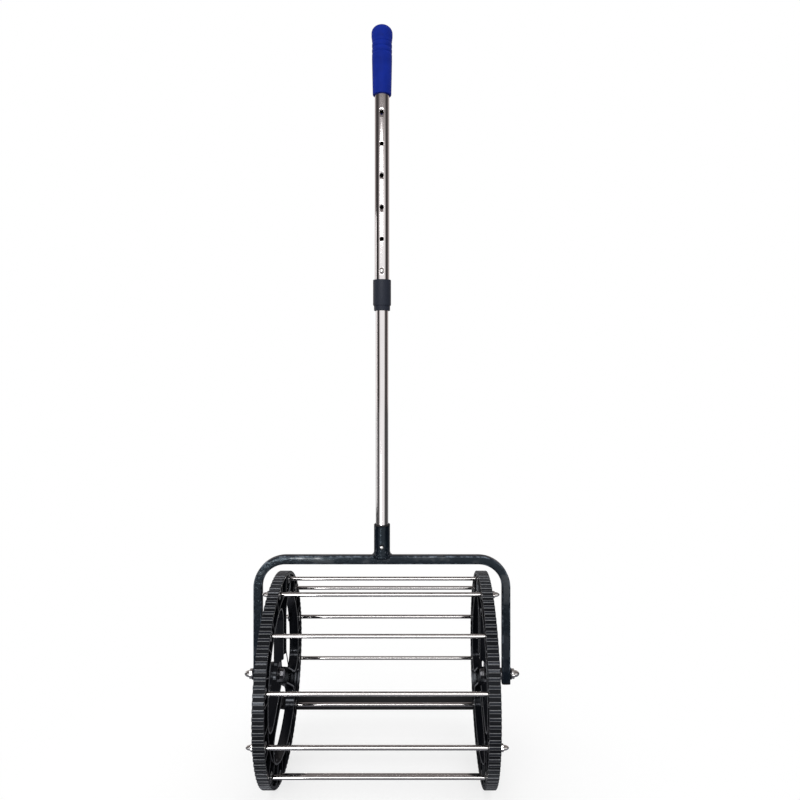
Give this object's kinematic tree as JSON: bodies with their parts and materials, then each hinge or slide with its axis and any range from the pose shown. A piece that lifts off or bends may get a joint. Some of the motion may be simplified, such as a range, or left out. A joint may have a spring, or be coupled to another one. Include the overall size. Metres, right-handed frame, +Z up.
{
  "type": "ball roller collector",
  "caption": "Rolling cage of steel rods between two toothed wheels, in a bent square-tube bail with a telescopic pole, that gathers balls from the ground.",
  "frame": {"origin": "on the floor, under the middle of the drum's axle line", "axes": "+Z up along the pole, +X along the drum's axle line to the right as seen from the front, and the front, where the spring buttons are, faces -Y"},
  "size_m": [0.4192, 0.3, 1.1396],
  "materials": {
    "wheel_plastic": "moulded gloss",
    "chrome_steel": "polished",
    "bail_paint": "gloss paint",
    "strip_paint": "satin paint",
    "plug_plastic": "satin",
    "collar_plastic": "satin",
    "grip_rubber": "fine matt grain",
    "spring_steel": "plain"
  },
  "bodies": {
    "frame": {"bail": "bail_paint", "left_end_plug": "plug_plastic", "right_end_plug": "plug_plastic", "pole_socket": "bail_paint", "socket_bush": "plug_plastic", "rear_brace": "strip_paint", "left_axle_bolt": "chrome_steel", "left_head_washer": "chrome_steel", "left_hub_spacer": "chrome_steel", "left_arm_washer": "chrome_steel", "left_nut_washer": "chrome_steel", "left_axle_nut": "chrome_steel", "right_axle_bolt": "chrome_steel", "right_head_washer": "chrome_steel", "right_hub_spacer": "chrome_steel", "right_arm_washer": "chrome_steel", "right_nut_washer": "chrome_steel", "right_axle_nut": "chrome_steel"},
    "drum": {"left_wheel": "wheel_plastic", "right_wheel": "wheel_plastic", "plain_rod_1": "chrome_steel", "plain_rod_2": "chrome_steel", "plain_rod_3": "chrome_steel", "plain_rod_4": "chrome_steel", "plain_rod_5": "chrome_steel", "plain_rod_6": "chrome_steel", "plain_rod_7": "chrome_steel", "plain_rod_8": "chrome_steel", "tie_rod_1": "chrome_steel", "tie_rod_2": "chrome_steel", "tie_rod_3": "chrome_steel", "tie_rod_4": "chrome_steel", "tie_nut_left_1": "chrome_steel", "tie_nut_left_2": "chrome_steel", "tie_nut_left_3": "chrome_steel", "tie_nut_left_4": "chrome_steel", "tie_nut_right_1": "chrome_steel", "tie_nut_right_2": "chrome_steel", "tie_nut_right_3": "chrome_steel", "tie_nut_right_4": "chrome_steel"},
    "pole": {"lower_tube": "chrome_steel", "telescope_spring": "spring_steel", "socket_spring": "spring_steel"},
    "handle": {"upper_tube": "chrome_steel", "collar": "collar_plastic", "grip": "grip_rubber"},
    "telescope_button": {"telescope_button": "chrome_steel"},
    "socket_button": {"socket_button": "chrome_steel"}
  },
  "joints": [
    {"name": "drum_spin", "type": "hinge", "parent": "frame", "child": "drum", "pos_m": [0, 0, 0.15], "axis": [1, 0, 0], "continuous": true},
    {"name": "pole_pull_out", "type": "slide", "parent": "frame", "child": "pole", "axis": [0, 0, 1], "range_m": [0, 0.05], "deforming": ["socket_button", "socket_spring"]},
    {"name": "pole_telescope", "type": "slide", "parent": "pole", "child": "handle", "axis": [0, 0, -1], "range_m": [0, 0.24], "deforming": ["telescope_button", "telescope_spring"]},
    {"name": "telescope_button_press", "type": "slide", "parent": "pole", "child": "telescope_button", "axis": [0, 1, 0], "range_m": [0, 0.004], "stiffness_N_per_m": 800, "springref_m": -0.002, "deforming": ["telescope_spring"]},
    {"name": "socket_button_press", "type": "slide", "parent": "pole", "child": "socket_button", "axis": [0, 1, 0], "range_m": [0, 0.0055], "stiffness_N_per_m": 800, "springref_m": -0.002, "deforming": ["socket_spring"]}
  ]
}
